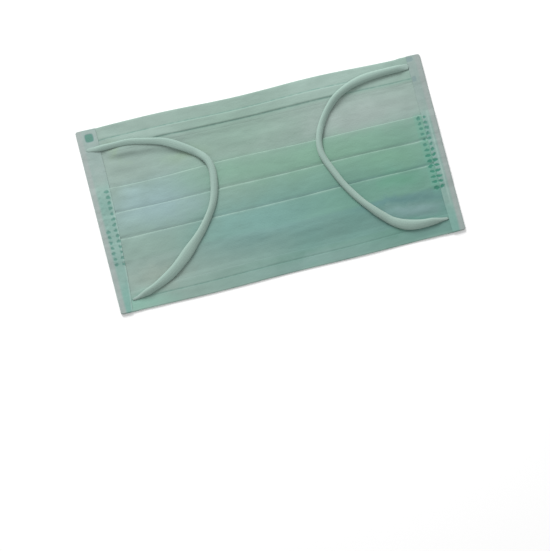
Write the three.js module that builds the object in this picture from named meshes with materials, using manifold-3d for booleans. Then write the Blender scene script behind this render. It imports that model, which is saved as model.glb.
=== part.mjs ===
// A disposable pleated face mask, folded flat. It lies with its inner side up and both ear loops laid on it.
// Millimetres. +X runs along the width, +Y towards the nose edge, +Z up, and the origin is under the middle.
// The cloth is a fused laminate, so it is one wall. A distance called v runs from the nose edge to the chin edge.

import * as THREE from "three";
import { mergeVertices } from "three/addons/utils/BufferGeometryUtils.js";
import Module from "manifold-3d";

const wasm = await Module();
wasm.setup();

// Driving dimensions

const WIDTH = 175;
const HEIGHT = 95;
const FAN = 0.022; // the pleats fan out: the height grows by this share at the left edge, and shrinks at the right
const CORNER = 2.4; // radius of the four corners
const WALL = 1;
const GAP = 0.3;

// One row for each pleat, from the nose down: the v of its fold on the outer side and on the inner side.
const PLEATS = [
  { outerFold: 42.9, innerFold: 31.4 },
  { outerFold: 56.2, innerFold: 44.7 },
  { outerFold: 70.1, innerFold: 58.1 },
];
const LAST_STEP = 1.9; // from the last outer fold to where an inner fold would stand

const NOSE_HEM = { width: 13.6, seam: 6.7, secondSeam: 11.9 };
const CHIN_HEM = { width: 9.7, seam: 6 };
const HEM_STEP = { from: 0.5, to: 2.6 }; // where the panel over a hem comes down, from the hem's free edge
const SEAM = { width: 0.9, depth: 0.4 };

const WIRE = { length: 98, width: 3.4, thickness: 0.8, v: 9.3, roundEnd: 1.2 };
const CHANNEL = { slope: 0.9, fade: 4 }; // run of the cloth's rise beside the wire, and past the wire's ends

const MARGIN = { thickness: 1.2, pressFrom: 11.5, pressTo: 9 }; // the last two from the side edge
const STRIP = { outerLeg: 9, chamfer: 0.5 };

// One row for each side: its sign along X, the width of the strip on the inner side, and its columns of weld dots.
const SIDES = [
  { name: "left", sign: -1, innerLeg: 6.5, dotColumns: [3.8, 8] },
  { name: "right", sign: 1, innerLeg: 5.5, dotColumns: [4.4, 8.2] },
];
const DOTS = { rows: 14, from: 32, pitch: 2.9, radius: 0.55, depth: 0.4 };
const CORNER_WELD = { fromSide: 3.2, fromEdge: 1.8, width: 4.6, height: 4.8, depth: 0.35 };

// The elastic of an ear loop, and the route of each along its centreline, from the nose corner to the chin corner.
const LOOP = { diameter: 3, sides: 8, steps: 72 };
const LOOP_ROUTES = {
  left: [
    [-84.6, 38.5, 5.7],
    [-78.8, 38.0, 5.7],
    [-70.4, 37.9, 6.3],
    [-63.5, 37.8, 6.8],
    [-56.6, 36.5, 7.0],
    [-46.7, 33.8, 6.8],
    [-39.2, 29.7, 6.2],
    [-32.3, 24.6, 5.7],
    [-28.1, 19.6, 5.5],
    [-26.4, 14.5, 5.5],
    [-26.4, 8.9, 5.4],
    [-28.0, 2.2, 5.4],
    [-30.6, -3.8, 5.4],
    [-34.3, -9.3, 5.4],
    [-39.8, -16.0, 5.4],
    [-46.3, -22.3, 5.2],
    [-52.6, -28.0, 4.4],
    [-59.4, -33.1, 3.9],
    [-68.3, -37.8, 4.2],
    [-76.4, -40.6, 5.0],
    [-82.6, -41.8, 5.7],
  ],
  right: [
    [84.4, 43.0, 5.7],
    [79.6, 42.9, 5.5],
    [71.2, 42.5, 4.7],
    [63.7, 41.8, 4.3],
    [56.3, 40.7, 4.3],
    [48.9, 38.6, 5.2],
    [42.0, 35.1, 5.0],
    [36.8, 30.7, 4.2],
    [32.8, 25.7, 3.9],
    [30.0, 20.6, 4.5],
    [28.6, 15.5, 5.3],
    [28.5, 10.4, 5.4],
    [29.2, 5.3, 5.4],
    [30.9, -0.4, 5.4],
    [33.7, -7.6, 5.4],
    [37.3, -14.0, 5.4],
    [41.2, -19.8, 5.4],
    [45.4, -24.9, 4.9],
    [49.4, -29.2, 4.2],
    [53.9, -33.2, 3.8],
    [59.6, -36.4, 4.0],
    [66.4, -38.0, 4.2],
    [73.8, -38.3, 4.5],
    [80.2, -38.5, 5.3],
    [84.0, -38.6, 5.7],
  ],
};

// Sizes that follow

const LEVEL = WALL + GAP; // rise from one stacked leaf to the next
const TURN = LEVEL / 2; // radius of a fold's centreline
const FOLD = TURN + WALL / 2; // a fold's outer radius
const STACK = 2 * LEVEL + WALL; // height of a pleat's three leaves
const MARGIN_BOTTOM = WALL + GAP;
const MARGIN_TOP = MARGIN_BOTTOM + MARGIN.thickness;
const STRIP_TOP = MARGIN_TOP + GAP + WALL;
const WIRE_LIFT = WIRE.thickness + GAP; // how far the panel rises to clear the wire
const HALF_WIDTH = WIDTH / 2;
const yAt = (v) => HEIGHT / 2 - v;

// Materials

const cloth = (name, colour) =>
  new THREE.MeshStandardMaterial({ name, color: colour, roughness: 0.9, metalness: 0 });
const LAMINATE = cloth("laminate", 0x9db8ad);
const STRIP_CLOTH = cloth("strip", 0xa9bdb3);
const ELASTIC = cloth("elastic", 0xc3d6cb);
const WIRE_PLASTIC = new THREE.MeshStandardMaterial({
  name: "wire",
  color: 0xe6e8e4,
  roughness: 0.5,
  metalness: 0,
});

// Solids: a geometry becomes a solid to be joined and cut, and turns back into a geometry.

function solidOf(geometry) {
  const bare = geometry.clone();
  bare.deleteAttribute("normal");
  bare.deleteAttribute("uv");
  const merged = mergeVertices(bare, 1e-4);
  return new wasm.Manifold(
    new wasm.Mesh({
      numProp: 3,
      vertProperties: merged.attributes.position.array,
      triVerts: new Uint32Array(merged.index.array),
    }),
  );
}

function geometryOf(solid) {
  const mesh = solid.getMesh();
  return new THREE.BufferGeometry()
    .setAttribute("position", new THREE.BufferAttribute(mesh.vertProperties, mesh.numProp))
    .setIndex(new THREE.BufferAttribute(mesh.triVerts, 1));
}

// Moves each vertex of a geometry to where place(x, y, z) says.
function reshape(geometry, place) {
  const position = geometry.attributes.position;
  for (let i = 0; i < position.count; i++) {
    position.setXYZ(i, ...place(position.getX(i), position.getY(i), position.getZ(i)));
  }
  return geometry;
}

// The fan of the pleats, which every piece but the loops follows.
const fanned = (geometry) => reshape(geometry, (x, y, z) => [x, y * (1 - (FAN * x) / HALF_WIDTH), z]);

function box(x0, x1, y0, y1, z0, z1) {
  const geometry = new THREE.BoxGeometry(x1 - x0, y1 - y0, z1 - z0);
  geometry.translate((x0 + x1) / 2, (y0 + y1) / 2, (z0 + z1) / 2);
  return solidOf(geometry);
}

// A box that lies along a side, between two distances from that side's edge.
function sideBox(side, far, near, y0, y1, z0, z1) {
  const ends = [side.sign * (HALF_WIDTH - far), side.sign * (HALF_WIDTH - near)].sort((a, b) => a - b);
  return box(...ends, y0, y1, z0, z1);
}

// The body's section: the centreline of the cloth, with v to the right and height up

function arc(v, z, radius, fromDegrees, toDegrees, pieces) {
  return Array.from({ length: pieces + 1 }, (_, i) => {
    const angle = THREE.MathUtils.degToRad(fromDegrees + ((toDegrees - fromDegrees) * i) / pieces);
    return new THREE.Vector2(v + radius * Math.cos(angle), z + radius * Math.sin(angle));
  });
}

// The step between the panel's level over a hem and its level beside it, from the hem's free edge outwards.
function stepPoints(hemEdge, outwards) {
  return [
    new THREE.Vector2(hemEdge + outwards * HEM_STEP.from, LEVEL + WALL / 2),
    new THREE.Vector2(hemEdge + outwards * HEM_STEP.to, WALL / 2),
  ];
}

// The hem's leaf from its free edge to the nose fold, then the panel over it, with the points where it rises over
// the wire, and the step down to the surface.
function noseHemLine() {
  const half = WIRE.width / 2 + GAP;
  const rises = [WIRE.v - half - CHANNEL.slope, WIRE.v - half, WIRE.v + half, WIRE.v + half + CHANNEL.slope];
  return [
    new THREE.Vector2(NOSE_HEM.width, WALL / 2),
    ...arc(FOLD, FOLD, TURN, 270, 90, 4),
    ...rises.map((v) => new THREE.Vector2(v, LEVEL + WALL / 2)),
    ...stepPoints(NOSE_HEM.width, 1),
  ];
}

// One pleat: forward to the outer fold, back to the inner fold, then over both and down to the next panel.
// The way down is the straight line that touches a circle round the outer fold and one round the next inner fold.
function pleatLine(pleat, nextInnerFold) {
  const outer = new THREE.Vector2(pleat.outerFold - FOLD, FOLD);
  const inner = new THREE.Vector2(pleat.innerFold + FOLD, FOLD + LEVEL);
  const next = new THREE.Vector2(nextInnerFold + FOLD, FOLD + LEVEL);
  const clear = FOLD + GAP + WALL / 2;
  const between = next.clone().sub(outer);
  const slope = between.angle() - Math.asin((2 * clear) / between.length());
  const leave = THREE.MathUtils.radToDeg(slope) + 90;
  return [
    ...arc(outer.x, outer.y, TURN, -90, 90, 4),
    ...arc(inner.x, inner.y, TURN, 270, 90, 4),
    ...arc(outer.x, outer.y, clear, 90, leave, 2),
    ...arc(next.x, next.y, clear, leave + 180, 270, 2),
  ];
}

// The panel's step up to the chin hem, the chin fold, and the hem's leaf back under it to its free edge.
function chinHemLine() {
  const hemEdge = HEIGHT - CHIN_HEM.width;
  return [
    ...stepPoints(hemEdge, -1).reverse(),
    ...arc(HEIGHT - FOLD, FOLD, TURN, 90, -90, 4),
    new THREE.Vector2(hemEdge, WALL / 2),
  ];
}

// The outline of a wall round its centreline, mitred at each bend.
function wallOutline(line, thickness) {
  const sides = [[], []];
  line.forEach((point, i) => {
    const before = (i > 0 ? point.clone().sub(line[i - 1]) : line[1].clone().sub(point)).normalize();
    const after = (i < line.length - 1 ? line[i + 1].clone().sub(point) : before.clone()).normalize();
    const along = before.clone().add(after).normalize();
    const reach = thickness / 2 / along.dot(after);
    const offset = new THREE.Vector2(-along.y, along.x).multiplyScalar(reach);
    sides[0].push(point.clone().add(offset));
    sides[1].push(point.clone().sub(offset));
  });
  return new THREE.Shape([...sides[0], ...sides[1].reverse()]);
}

// The body: the section carried along the width

// One row for each station of the right half: how far the cloth rises over the wire, and how far it is pressed.
const HALF_STATIONS = [
  { x: WIRE.length / 2 + GAP, lift: 1, press: 0 },
  { x: WIRE.length / 2 + CHANNEL.fade, lift: 0, press: 0 },
  { x: HALF_WIDTH - MARGIN.pressFrom, lift: 0, press: 0 },
  { x: HALF_WIDTH - MARGIN.pressTo, lift: 0, press: 1 },
  { x: HALF_WIDTH - MARGIN.pressTo + GAP, lift: 0, press: 1 },
];
const STATIONS = [
  ...HALF_STATIONS.toReversed(),
  ...HALF_STATIONS.map((station) => ({ ...station, x: -station.x })),
];

// How much of the rise over the wire stands at v: all of it above the wire, none outside the channel.
function channelShare(v) {
  const aside = Math.abs(v - WIRE.v) - WIRE.width / 2 - GAP;
  return THREE.MathUtils.clamp(1 - aside / CHANNEL.slope, 0, 1);
}

function bodyPoint(v, height, index) {
  const { x, lift, press } = STATIONS[Math.round(index)];
  const overHem = v < NOSE_HEM.width + GAP && height > WALL + GAP / 2;
  const lifted = height + (overHem ? lift * WIRE_LIFT * channelShare(v) : 0);
  const middle = (MARGIN_BOTTOM + MARGIN_TOP) / 2;
  const pressed = middle + ((lifted - STACK / 2) / STACK) * MARGIN.thickness * 0.95;
  return [x, yAt(v), THREE.MathUtils.lerp(lifted, pressed, press)];
}

function foldedCloth() {
  const nextFolds = [...PLEATS.slice(1).map((p) => p.innerFold), PLEATS.at(-1).outerFold + LAST_STEP];
  const line = [...noseHemLine(), ...PLEATS.flatMap((p, i) => pleatLine(p, nextFolds[i])), ...chinHemLine()];
  const steps = STATIONS.length - 1;
  const options = { depth: steps, steps, bevelEnabled: false };
  return solidOf(reshape(new THREE.ExtrudeGeometry(wallOutline(line, WALL), options), bodyPoint));
}

// The hem between its fold and its seam is welded to the panel under it.
function hemWeld(v0, v1) {
  const reach = HALF_WIDTH - MARGIN.pressFrom;
  return box(-reach, reach, yAt(v1), yAt(v0), WALL / 2, LEVEL + WALL / 2);
}

// A groove along the width, pressed down from the top or up from the underside at one height.
function seamGroove(v, z, depth) {
  const reach = HALF_WIDTH - MARGIN.pressFrom;
  const section = new THREE.Shape([
    new THREE.Vector2(-SEAM.width / 2, 0),
    new THREE.Vector2(0, -depth),
    new THREE.Vector2(SEAM.width / 2, 0),
    new THREE.Vector2(0, depth),
  ]);
  const geometry = new THREE.ExtrudeGeometry(section, { depth: 2 * reach, bevelEnabled: false });
  return solidOf(reshape(geometry, (a, b, c) => [reach - c, yAt(v) - a, z + b]));
}

// A plate of the mask's outline, kept between two distances from the side edge, with the outer corners rounded.
function sidePlate(side, far, near, radius, z0, z1) {
  const inner = HALF_WIDTH - far;
  const outer = HALF_WIDTH - near;
  const half = HEIGHT / 2;
  const shape = new THREE.Shape();
  shape.moveTo(inner, -half);
  shape.lineTo(outer - radius, -half);
  shape.absarc(outer - radius, radius - half, radius, -Math.PI / 2, 0, false);
  shape.absarc(outer - radius, half - radius, radius, 0, Math.PI / 2, false);
  shape.lineTo(inner, half);
  const geometry = new THREE.ExtrudeGeometry(shape, { depth: z1 - z0, bevelEnabled: false, curveSegments: 4 });
  geometry.translate(0, 0, z0);
  if (side.sign < 0) geometry.rotateZ(Math.PI);
  return solidOf(geometry);
}

// Weld marks: a column of dots and the squares at the corners

function dotColumn(side, fromSide, z) {
  const x = side.sign * (HALF_WIDTH - fromSide);
  return Array.from({ length: DOTS.rows }, (_, i) => {
    const geometry = new THREE.CylinderGeometry(DOTS.radius, DOTS.radius, 2 * DOTS.depth, 6);
    geometry.rotateX(Math.PI / 2);
    geometry.translate(x, yAt(DOTS.from + i * DOTS.pitch), z);
    return solidOf(geometry);
  });
}

function cornerWelds(side, z) {
  const { fromSide, fromEdge, width, height, depth } = CORNER_WELD;
  const far = HEIGHT / 2 - fromEdge;
  const near = far - height;
  return [
    sideBox(side, fromSide + width, fromSide, near, far, z - depth, z + depth),
    sideBox(side, fromSide + width, fromSide, -far, -near, z - depth, z + depth),
  ];
}

const cut = (solid, cutters) => cutters.reduce((left, cutter) => left.subtract(cutter), solid);

function pleatedBody() {
  const margins = SIDES.map((side) =>
    sidePlate(side, MARGIN.pressTo + GAP, WALL + GAP, CORNER - 1, MARGIN_BOTTOM, MARGIN_TOP),
  );
  const welds = [
    hemWeld(FOLD / 2, NOSE_HEM.seam + SEAM.width / 2),
    hemWeld(HEIGHT - CHIN_HEM.seam - SEAM.width / 2, HEIGHT - FOLD / 2),
  ];
  const whole = [...margins, ...welds].reduce((body, piece) => body.add(piece), foldedCloth());
  const hemTop = LEVEL + WALL;
  const seams = [NOSE_HEM.seam, NOSE_HEM.secondSeam + SEAM.width / 2, HEIGHT - CHIN_HEM.seam];
  const grooves = seams.flatMap((v) => [
    seamGroove(v, hemTop, SEAM.depth),
    seamGroove(v, 0, SEAM.depth / 2),
  ]);
  const marks = SIDES.flatMap((side) => [
    ...dotColumn(side, side.dotColumns[1], MARGIN_TOP),
    ...cornerWelds(side, MARGIN_TOP),
  ]);
  return cut(whole, [...grooves, ...marks]);
}

// The nose wire, a flat bar with rounded ends that lies in the hem's channel.
function noseWire() {
  const [halfLength, halfWidth, r] = [WIRE.length / 2, WIRE.width / 2, WIRE.roundEnd];
  const shape = new THREE.Shape();
  shape.absarc(halfLength - r, halfWidth - r, r, 0, Math.PI / 2, false);
  shape.absarc(r - halfLength, halfWidth - r, r, Math.PI / 2, Math.PI, false);
  shape.absarc(r - halfLength, r - halfWidth, r, Math.PI, 1.5 * Math.PI, false);
  shape.absarc(halfLength - r, r - halfWidth, r, 1.5 * Math.PI, 2 * Math.PI, false);
  const geometry = new THREE.ExtrudeGeometry(shape, {
    depth: WIRE.thickness,
    bevelEnabled: false,
    curveSegments: 4,
  });
  geometry.translate(0, yAt(WIRE.v), WALL + GAP);
  return solidOf(geometry);
}

// A binding strip: a plate as thick as both legs and the margin, slotted for the margin, its inner leg shorter.
function sideStrip(side) {
  const beyond = HEIGHT;
  const plate = sidePlate(side, STRIP.outerLeg, 0, CORNER, 0, STRIP_TOP);
  const slot = sideBox(side, STRIP.outerLeg + WALL, WALL, -beyond, beyond, WALL, STRIP_TOP - WALL);
  const shortLeg = sideBox(side, STRIP.outerLeg + WALL, side.innerLeg, -beyond, beyond, WALL, STRIP_TOP + WALL);
  const chamfers = [0, STRIP_TOP].map((z) => {
    const reach = STRIP.chamfer * Math.SQRT2;
    const geometry = new THREE.CylinderGeometry(reach, reach, 2 * beyond, 4);
    geometry.rotateY(Math.PI / 2);
    geometry.translate(side.sign * HALF_WIDTH, 0, z);
    return solidOf(geometry);
  });
  const marks = [
    ...dotColumn(side, side.dotColumns[0], STRIP_TOP),
    ...side.dotColumns.flatMap((fromSide) => dotColumn(side, fromSide, 0)),
    ...cornerWelds(side, STRIP_TOP),
  ];
  return cut(plate, [slot, shortLeg, ...chamfers, ...marks]);
}

// An ear loop: a round elastic along its route.
function earLoop(side) {
  const curve = new THREE.CatmullRomCurve3(LOOP_ROUTES[side.name].map((p) => new THREE.Vector3(...p)));
  const turn = (2 * Math.PI) / LOOP.sides;
  const section = Array.from({ length: LOOP.sides }, (_, i) => {
    const angle = turn * (i + 0.5);
    return new THREE.Vector2(Math.cos(angle), Math.sin(angle)).multiplyScalar(LOOP.diameter / 2);
  });
  const options = { steps: LOOP.steps, bevelEnabled: false, extrudePath: curve };
  return new THREE.ExtrudeGeometry(new THREE.Shape(section), options);
}

// Assembly

const mask = new THREE.Group();
mask.name = "surgical_face_mask";

function addPiece(name, geometry, material) {
  const mesh = new THREE.Mesh(geometry, material.clone());
  mesh.name = name;
  mask.add(mesh);
}

addPiece("pleated_body", fanned(geometryOf(pleatedBody())), LAMINATE);
addPiece("nose_wire", fanned(geometryOf(noseWire())), WIRE_PLASTIC);
for (const side of SIDES) {
  addPiece(`side_strip_${side.name}`, fanned(geometryOf(sideStrip(side))), STRIP_CLOTH);
  addPiece(`ear_loop_${side.name}`, earLoop(side), ELASTIC);
}

export default mask;
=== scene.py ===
import math
from types import SimpleNamespace

import bpy
import numpy as np
from bpy.props import FloatProperty, FloatVectorProperty, IntProperty, PointerProperty
from bpy.types import Operator, Panel, PropertyGroup, Scene
from mathutils import Matrix, Vector


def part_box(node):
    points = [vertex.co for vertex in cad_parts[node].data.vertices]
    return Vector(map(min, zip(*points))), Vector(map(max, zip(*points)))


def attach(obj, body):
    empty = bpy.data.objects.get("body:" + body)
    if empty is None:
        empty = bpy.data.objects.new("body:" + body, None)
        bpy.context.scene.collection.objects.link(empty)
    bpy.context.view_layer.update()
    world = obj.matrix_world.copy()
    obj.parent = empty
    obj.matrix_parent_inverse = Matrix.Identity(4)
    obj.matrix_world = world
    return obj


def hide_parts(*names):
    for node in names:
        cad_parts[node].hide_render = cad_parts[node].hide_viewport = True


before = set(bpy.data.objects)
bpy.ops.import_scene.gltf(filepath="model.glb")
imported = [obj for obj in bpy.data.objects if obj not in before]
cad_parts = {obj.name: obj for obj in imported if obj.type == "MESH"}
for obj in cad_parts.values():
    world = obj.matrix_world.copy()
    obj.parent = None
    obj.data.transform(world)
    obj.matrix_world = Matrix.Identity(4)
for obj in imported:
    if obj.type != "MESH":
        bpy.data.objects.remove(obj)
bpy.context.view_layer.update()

bl_info = {
    "name": "Pleated Face Mask",
    "version": (1, 0, 0),
    "blender": (4, 5, 0),
    "location": "View3D > Sidebar > Face Mask",
    "description": "Builds a flat-folded face mask with pleats, side strips, a nose wire and two ear loops",
    "category": "Object",
}

# Shapes are worked out in millimetres and turned into metres as they go into a mesh. x runs along the width, and v
# from the nose edge to the chin edge. A leaf of the cloth at level 0 is on the table, and those at levels 1 and 2 lie
# on the leaves below them.
MM = 0.001
HALF_WIDTH = (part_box("side_strip_right")[1].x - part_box("side_strip_left")[0].x) / 2 / MM

# One row for each pleat: the v of its fold on the outer side and on the inner side.
PLEATS = [(43.8, 31.4), (57.2, 44.7), (70.1, 58.1)]
LAST_STEP = 6.0  # from the last pleat's outer fold to where the panel after it reaches the table
FOLD_REACH = 0.6  # from a fold's tip to the middle of its bend
BEND = 0.42  # reach of a fold's bend along v
DROP_START = 1.4  # from an outer fold's tip back to where the panel over it starts down
DROP_END = 1.6  # from an inner fold's tip to where the panel under it reaches the table
HEM_STEP = (0.1, 0.6, 3.4)  # where the panel over a hem starts down, is a quarter down and is down
NOSE_SEAMS = (6.7, 11.9)  # welded seams, from the nose edge
CHIN_SEAM = 6.0  # the same, from the chin edge
SEAM_MARK = 0.34  # how far the mark of a seam reaches to either side of it
FOLD_MARK = 0.62  # how far the mark of a fold reaches to either side of its tip
CLOTH_INSET = 1.1  # from a side to the cloth's own edge, inside the strip
CLOTH_CORNER = 1.3  # radius of the cloth's corners
PRESSED = (13.5, 9.8)  # from a side: where the leaves start to be pressed together, and where they are

# One row for each side: its sign along x, its strip's inner leg at the nose and at the chin, the power by which the
# leg narrows between them, where its pale rim is if not at its free edge (at its free edge the rim is painted light
# over the shade of the strip's step), its tone (lower on the right, as painted shade of the light falling off across
# the mask), the columns of its weld dots, how dark the upper and the lower dots are, how far the first column's upper
# dots are held back, and its welded spots: how far each one's middle is from the side, its v, its half sizes and its
# depth.
SIDES = {
    "left": dict(
        sign=-1, leg=(10.2, 6.0), narrows=2.2, rim=None, tone=1.0, columns=(3.8, 7.8), dark=(0.60, 0.56), late=4.0,
        spots=[(6.1, 4.5, 2.3, 2.3, 0.85)],
    ),
    "right": dict(
        sign=1, leg=(7.0, 6.6), narrows=1.0, rim=3.8, tone=0.92, columns=(5.8, 8.6), dark=(0.74, 1.0), late=0.0,
        spots=[(6.0, 2.0, 2.3, 1.3, 0.42), (5.6, 12.6, 1.1, 1.5, 0.42)],
    ),
}
OUTER_LEG = 9.0
STRIP_ROWS = 280
LEG_COLUMNS = (26, 30)  # of the outer and of the inner leg
ROUND_SIDE = 0.6  # what the turn round a side adds to a strip's flat width
LEVEL_ABOUT = 1.3  # length of cloth that goes from one level to the next, for its flat size
MARGIN_LOW = 0.48  # height of the lowest leaf's middle in the pressed margin
MARGIN_LEAF = 0.25  # from one pressed leaf to the next
DOT_ROWS = 14
DOT_FROM = 33.2
DOT_PITCH = 2.85
DOT_HALF = (1.02, 0.84)

# The route of each ear loop along its middle, from the nose corner to the chin corner, in mm.
LOOP_ROUTES = {
    "left": [
        (-84.6, 38.5, 5.7), (-78.8, 38, 5.7), (-70.4, 37.9, 6.3), (-63.5, 37.8, 6.8), (-56.6, 36.5, 7),
        (-46.7, 33.8, 6.8), (-39.2, 29.7, 6.2), (-32.3, 24.6, 5.7), (-28.1, 19.6, 5.5), (-26.4, 14.5, 5.5),
        (-26.4, 8.9, 5.4), (-28, 2.2, 5.4), (-30.6, -3.8, 5.4), (-34.3, -9.3, 5.4), (-39.8, -16, 5.4),
        (-46.3, -22.3, 5.2), (-52.6, -28, 4.4), (-59.4, -33.1, 3.9), (-68.3, -37.8, 4.2), (-76.4, -40.6, 5),
        (-82.6, -41.8, 5.7),
    ],
    "right": [
        (84.4, 42.1, 5.7), (79.6, 42, 5.5), (71.2, 41.7, 4.7), (63.7, 41.1, 4.3), (56.3, 40.1, 4.3),
        (48.9, 38.2, 5.2), (42, 35.1, 5), (36.8, 30.7, 4.2), (32.8, 25.7, 3.9), (30, 20.6, 4.5), (28.6, 15.5, 5.3),
        (28.5, 10.4, 5.4), (29.2, 5.3, 5.4), (30.9, -0.4, 5.4), (33.7, -7.6, 5.4), (37.3, -14, 5.4),
        (41.2, -19.8, 5.4), (45.4, -24.9, 4.9), (49.4, -29.2, 4.2), (53.9, -33.2, 3.8), (59.6, -36.4, 4),
        (66.4, -38, 4.2), (73.8, -38.3, 4.5), (80.2, -38.5, 5.3), (84, -38.6, 5.7),
    ],
}
LIGHT_FROM = (-0.45, 0.89)  # the way towards the light along x and y
KEY_PLACE = (-0.44, 0.92, 0.68)  # of the large light as the view sees it: to its right, ahead and up, in metres
# How an ear loop lies along its length: the share of its length, the reach of that place, the extra width in mm, the
# extra lean towards the light, the share of its height that is pressed away, and how far it lies from its route, away
# from the light, in mm.
LOOP_LIES = {
    "left": [
        (0.12, 0.14, -0.3, 0.2, 0.50, 0.2),
        (0.29, 0.09, 1.0, 0.2, 0.30, 0.0),
        (0.48, 0.10, 0.5, 0.0, -0.05, -0.9),
        (0.79, 0.11, 2.3, 0.05, -0.05, 0.2),
    ],
    "right": [
        (0.16, 0.10, 1.0, -0.20, -0.10, -1.0),
        (0.50, 0.07, 0.0, 0.0, 0.0, -1.8),
        (0.72, 0.08, 0.2, 0.0, -0.10, 0.3),
        (0.86, 0.08, 1.9, 0.05, -0.20, 0.2),
    ],
}
TUBE_POWER = 2.1  # of the superellipse of a tube's section
STITCH = 0.62  # length of one stitch of the knit
ROUTE_STEP = 0.25  # between two rings of an ear loop, in mm
BELOW = 0.22  # share of an elastic's height that is below its middle
LIMP = 60.0  # an elastic comes down from a step by the square of the distance over this, in mm
SETTLED = 1.6  # length over which its height is evened out, in mm
LOOP_ASIDE = 0.7  # how far a whole loop lies from its route, away from the light, in mm
# For the start and the end of each route: the millimetres that lie hidden in the weld, those over which the elastic
# flattens towards it, and the share of its width that it loses there.
LOOP_WELDED = {"left": ((0.3, 9.0, 0.4), (2.4, 9.0, 0.6)), "right": ((3.6, 7.0, 0.1), (3.4, 9.0, 0.6))}


# Sizes and colours


def length(name, description, millimetres):
    return FloatProperty(
        name=name, description=description, default=millimetres * MM, subtype="DISTANCE", unit="LENGTH"
    )


def colour(name, description, value):
    return FloatVectorProperty(
        name=name, description=description, default=value, size=3, min=0.0, max=1.0, subtype="COLOR"
    )


class MaskStage(PropertyGroup):
    azimuth: FloatProperty(
        name="Azimuth", description="Turn of the view round the mask", default=math.radians(-14.0), subtype="ANGLE"
    )
    elevation: FloatProperty(
        name="Elevation", description="Height of the view above the floor", default=math.radians(74.0), subtype="ANGLE"
    )
    view_width: length("View width", "Width of the floor that the camera takes in", 271.1)
    target: FloatVectorProperty(
        name="Target",
        description="The point that the camera looks at",
        default=(-0.0094, -0.0471, 0.0012),
        size=3,
        subtype="TRANSLATION",
    )
    key_light: FloatProperty(
        name="Key light", description="Power of the large soft light", default=15.0, min=0.0, unit="POWER"
    )
    fill_light: FloatProperty(name="Fill light", description="Strength of the light all round", default=0.67, min=0.0)
    floor: colour("Floor", "Colour of the plain floor", (0.96, 0.96, 0.96))


class MaskCloth(PropertyGroup):
    height: length("Height", "From the nose edge to the chin edge", 95.0)
    fan: FloatProperty(name="Fan", description="Growth of the height at the left edge", default=0.016, subtype="FACTOR")
    thickness: length("Thickness", "Thickness of the laminate", 0.26)
    level: length("Leaf rise", "Rise from one folded leaf to the next, fully sprung", 0.72)
    nose_hem: length("Nose hem", "Width of the hem along the nose edge", 13.6)
    chin_hem: length("Chin hem", "Width of the hem along the chin edge", 9.7)
    stations: IntProperty(name="Stations", description="Steps of the cloth along the width", default=118, min=40)
    inner_pale: colour("Inner pale", "Inner face where one leaf lies", (0.272, 0.362, 0.324))
    # The inner deep colour is also laid towards the lower right of the inner face, partly as painted shade of the light
    # falling off across the mask.
    inner_deep: colour("Inner deep", "Inner face where the outer colour comes through", (0.112, 0.248, 0.218))
    inner_leaf: colour("Inner leaf green", "Tint of the pleats, where three leaves lie", (0.150, 0.312, 0.232))
    outer_light: colour("Outer light", "Outer face where it is lightest", (0.135, 0.385, 0.305))
    outer_deep: colour("Outer deep", "Outer face where it is deepest", (0.040, 0.300, 0.195))


class MaskStrip(PropertyGroup):
    thickness: length("Thickness", "Thickness of the side strips", 0.26)
    corner: length("Corner radius", "Radius of the corners of the mask", 1.3)
    cloth: colour("Strip", "Nonwoven of the side strips", (0.275, 0.372, 0.338))
    edge: colour("Strip edge", "Strip at the fold round the side", (0.310, 0.358, 0.345))
    weld: colour("Weld", "Cloth in a weld mark", (0.042, 0.205, 0.142))
    pressed: colour("Pressed", "Cloth that is pressed and not wholly welded", (0.165, 0.250, 0.262))
    band: colour("Band", "Strip between its folded edge and its free edge", (0.150, 0.345, 0.295))


class MaskLoop(PropertyGroup):
    width: length("Width", "Width of the elastic where it lies narrow", 3.2)
    thickness: length("Thickness", "Thickness of the elastic", 2.1)
    lean: FloatProperty(
        name="Lean", description="How much higher the elastic's lit side is", default=0.36, subtype="FACTOR"
    )
    wales: IntProperty(name="Wales", description="Ribs of the knit round the elastic", default=14, min=4)
    elastic: colour("Elastic", "Knitted elastic", (0.276, 0.392, 0.345))


class MaskWire(PropertyGroup):
    length: length("Length", "Length of the nose wire", 98.0)
    width: length("Width", "Width of the nose wire's plastic strip", 3.4)
    thickness: length("Thickness", "Thickness of the strip over its two wires", 0.4)
    place: length("Place", "From the nose edge to the middle of the wire", 9.3)
    plastic: colour("Plastic", "Plastic of the nose wire", (0.78, 0.80, 0.77))


def settings(*names):
    """The values of each group of settings, with its lengths in millimetres."""
    found = []
    for name in names:
        group = getattr(bpy.context.scene, name)
        units = {key: kind.unit for key, kind in group.bl_rna.properties.items()}
        values = {key: getattr(group, key) for key in units}
        values.update({key: values[key] / MM for key, unit in units.items() if unit == "LENGTH"})
        found.append(SimpleNamespace(**values))
    return found


# Number helpers, which take and give whole arrays


def ease(low, high, value):
    """A smooth step: 0 below low, 1 above high, and 3t^2 - 2t^3 of the share t between them."""
    t = np.clip((value - low) / (high - low), 0.0, 1.0)
    return t * t * (3 - 2 * t)


def hump(value, middle, reach):
    """A bell: e to minus the square of the distance from the middle over the reach."""
    return np.exp(-(((value - middle) / reach) ** 2))


def ripple(a, b, wavelength, seed, stretch=1.0, waves=14):
    """Soft unevenness of about unit height: a sum of plane waves over a and b with seeded directions and lengths.
    stretch above 1 makes its patches longer along a than along b."""
    draw = np.random.default_rng(seed)
    total = np.zeros(np.broadcast(a, b).shape)
    for _ in range(waves):
        turn, phase = draw.uniform(0, 2 * math.pi, 2)
        rate = 2 * math.pi / (wavelength * draw.uniform(0.75, 1.6))
        total += np.sin(rate * (a * math.cos(turn) / stretch + b * math.sin(turn)) + phase)
    return total / math.sqrt(waves / 2)


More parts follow.
